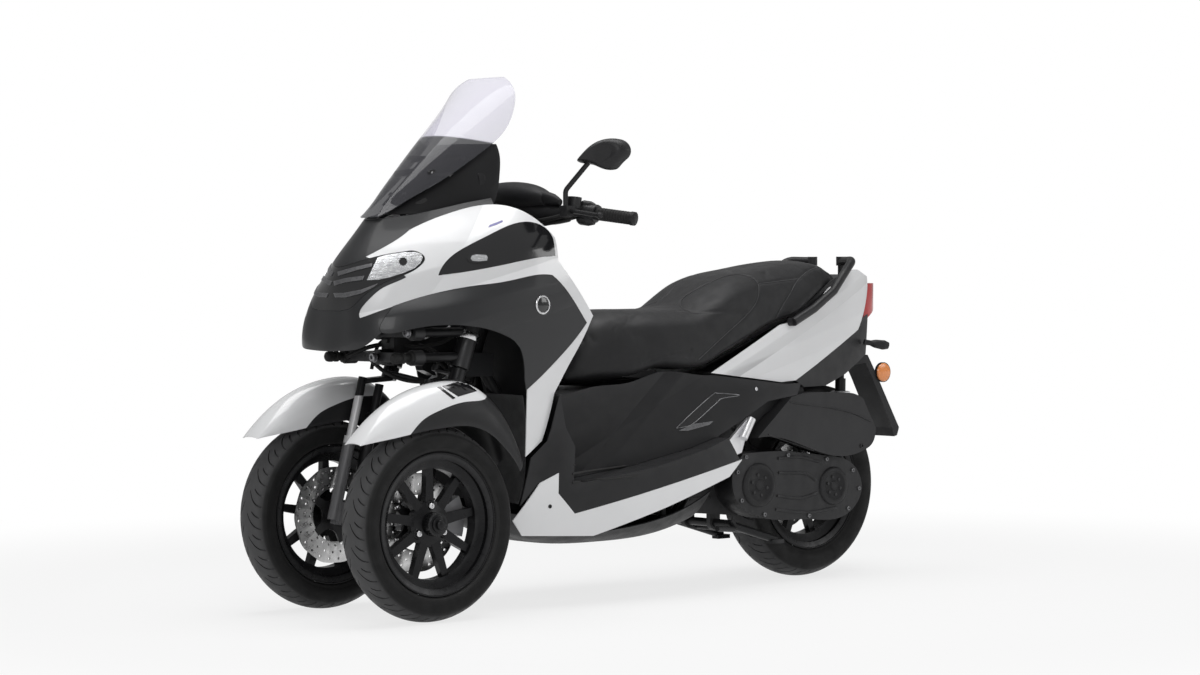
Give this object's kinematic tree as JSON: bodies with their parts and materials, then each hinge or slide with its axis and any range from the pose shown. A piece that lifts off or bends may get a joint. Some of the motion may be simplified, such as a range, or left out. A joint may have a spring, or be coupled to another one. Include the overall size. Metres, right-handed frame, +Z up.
{
  "type": "reverse trike",
  "caption": "Leaning scooter with paired front wheels on coupled forks, one driven rear wheel, tall clear screen, stepped seat and flat footwells.",
  "frame": {"origin": "on the ground, at the middle of the overall length and on the centre plane", "axes": "+X forwards, +Y to the rider's left, +Z up"},
  "size_m": [2.2499, 0.8284, 1.4679],
  "materials": {
    "white_paint": "gloss",
    "dark_plastic": "satin",
    "gloss_black": "gloss",
    "black_plastic": "matte",
    "black_metal": "satin",
    "alloy": "satin",
    "disc_steel": "brushed",
    "tyre_rubber": "matte",
    "grip_rubber": "matte",
    "seat_cover": "satin",
    "clear_screen": "gloss",
    "lamp_glass": "gloss",
    "red_lens": "gloss",
    "amber_lens": "gloss"
  },
  "bodies": {
    "chassis": {"side_heads": "black_metal", "tilt_arms": "black_metal", "frame": "black_metal", "side_cowls": "white_paint", "headlight": "lamp_glass", "intake_panels": "gloss_black", "side_panels": "dark_plastic", "lower_cowl": "dark_plastic", "nose_panel": "dark_plastic", "windshield": "clear_screen", "dash_cowl": "black_plastic", "leg_shield": "dark_plastic", "splash_panel": "black_plastic", "under_covers": "white_paint", "floorboards": "dark_plastic", "belly_pan": "black_plastic", "tunnel_covers": "dark_plastic", "tunnel_top": "dark_plastic", "fuel_tank": "black_metal", "storage_box": "black_plastic", "tail_cowls": "white_paint", "tail_trim": "dark_plastic", "tail_light": "red_lens", "grab_bars": "black_metal", "plate_holder": "black_plastic", "rear_indicators": "amber_lens", "engine": "black_metal", "belt_case": "black_metal", "air_box": "black_plastic", "swing_arm": "black_metal", "muffler": "black_metal", "rear_shocks": "black_metal", "rear_mudguard": "black_plastic", "pegs": "alloy"},
    "handlebar": {"handlebar": "black_metal", "grips": "grip_rubber", "controls": "black_plastic", "bar_cover": "dark_plastic", "mirrors": "black_plastic"},
    "fork_left": {"fork_left": "black_metal", "fender_left": "white_paint", "fender_skirt_left": "dark_plastic"},
    "fork_right": {"fork_right": "black_metal", "fender_right": "white_paint", "fender_skirt_right": "dark_plastic"},
    "wheel_front_left": {"rim_front_left": "black_metal", "tyre_front_left": "tyre_rubber", "disc_front_left": "disc_steel"},
    "wheel_front_right": {"rim_front_right": "black_metal", "tyre_front_right": "tyre_rubber", "disc_front_right": "disc_steel"},
    "wheel_rear": {"rim_rear": "black_metal", "tyre_rear": "tyre_rubber", "disc_rear": "disc_steel"},
    "tie_rod_left": {"tie_rod_left": "black_metal"},
    "tie_rod_right": {"tie_rod_right": "black_metal"},
    "seat": {"seat": "seat_cover"},
    "fuel_lid": {"fuel_lid": "dark_plastic"},
    "centre_stand": {"centre_stand": "black_metal"}
  },
  "joints": [
    {"name": "steering", "type": "hinge", "parent": "chassis", "child": "handlebar", "pos_m": [0.45243, 0, 0.9], "axis": [-0.342, 0, 0.9397], "range_deg": [-30, 30]},
    {"name": "fork_left_steer", "type": "hinge", "parent": "chassis", "child": "fork_left", "pos_m": [0.67622, 0.15, 0.7], "axis": [-0.342, 0, 0.9397], "range_deg": [-30, 30]},
    {"name": "fork_right_steer", "type": "hinge", "parent": "chassis", "child": "fork_right", "pos_m": [0.67622, -0.15, 0.7], "axis": [-0.342, 0, 0.9397], "range_deg": [-30, 30]},
    {"name": "tie_rod_left_swing", "type": "hinge", "parent": "handlebar", "child": "tie_rod_left", "pos_m": [0.60086, -0.04261, 0.62386], "axis": [-0.342, 0, 0.9397], "range_deg": [-30, 30]},
    {"name": "tie_rod_right_swing", "type": "hinge", "parent": "handlebar", "child": "tie_rod_right", "pos_m": [0.60702, 0.04261, 0.60695], "axis": [-0.342, 0, 0.9397], "range_deg": [-30, 30]},
    {"name": "wheel_front_left_spin", "type": "hinge", "parent": "fork_left", "child": "wheel_front_left", "pos_m": [0.863, 0.235, 0.262], "axis": [0, 1, 0], "continuous": true},
    {"name": "wheel_front_right_spin", "type": "hinge", "parent": "fork_right", "child": "wheel_front_right", "pos_m": [0.863, -0.235, 0.262], "axis": [0, 1, 0], "continuous": true},
    {"name": "wheel_rear_spin", "type": "hinge", "parent": "chassis", "child": "wheel_rear", "pos_m": [-0.732, 0, 0.276], "axis": [0, 1, 0], "continuous": true},
    {"name": "seat_lift", "type": "hinge", "parent": "chassis", "child": "seat", "pos_m": [0.24, 0, 0.603], "axis": [0, 1, 0], "range_deg": [0, 55]},
    {"name": "fuel_lid_lift", "type": "hinge", "parent": "chassis", "child": "fuel_lid", "pos_m": [0.396, 0, 0.5886], "axis": [0, 1, 0], "range_deg": [0, 80]},
    {"name": "centre_stand_swing", "type": "hinge", "parent": "chassis", "child": "centre_stand", "pos_m": [-0.332, 0, 0.186], "axis": [0, -1, 0], "range_deg": [0, 80]}
  ],
  "couplings": [
    {"joint": "fork_left_steer", "follows": "steering", "ratio": 1},
    {"joint": "fork_right_steer", "follows": "steering", "ratio": 1},
    {"joint": "tie_rod_left_swing", "follows": "steering", "ratio": -1},
    {"joint": "tie_rod_right_swing", "follows": "steering", "ratio": -1}
  ]
}
